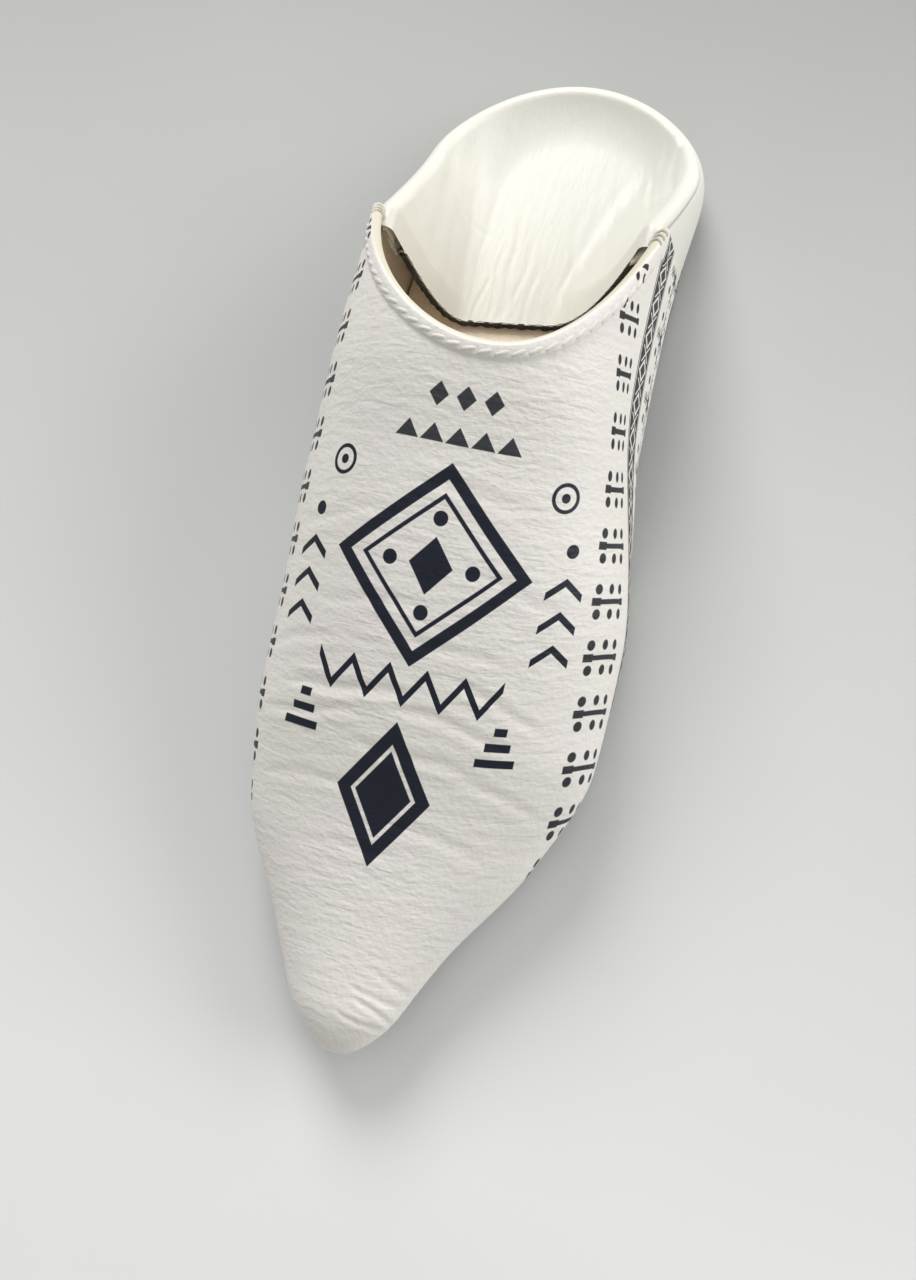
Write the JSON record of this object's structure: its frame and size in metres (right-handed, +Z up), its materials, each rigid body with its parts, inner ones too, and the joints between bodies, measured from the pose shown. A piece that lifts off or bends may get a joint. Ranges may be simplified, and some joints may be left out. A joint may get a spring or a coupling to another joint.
{
  "type": "babouche slipper",
  "caption": "Pointed leather slipper for the right foot with a flat sole, an open throat and its back folded down inside.",
  "frame": {"origin": "on the ground, under the middle of the slipper's box", "axes": "+Z up from the ground, -Y towards the toe, +Y towards the heel, +X towards the medial side of the right foot"},
  "size_m": [0.0898, 0.2752, 0.0722],
  "materials": {
    "navy_leather": "dull, smooth with fine scuffs",
    "tan_leather": "dull and fine grained",
    "white_leather": "satin, pebbled, with fine wrinkles and dark printed ornament",
    "thread": "thick waxed thread"
  },
  "bodies": {
    "root": {"outsole": "navy_leather", "insole": "tan_leather", "upper": "white_leather"}
  },
  "joints": []
}
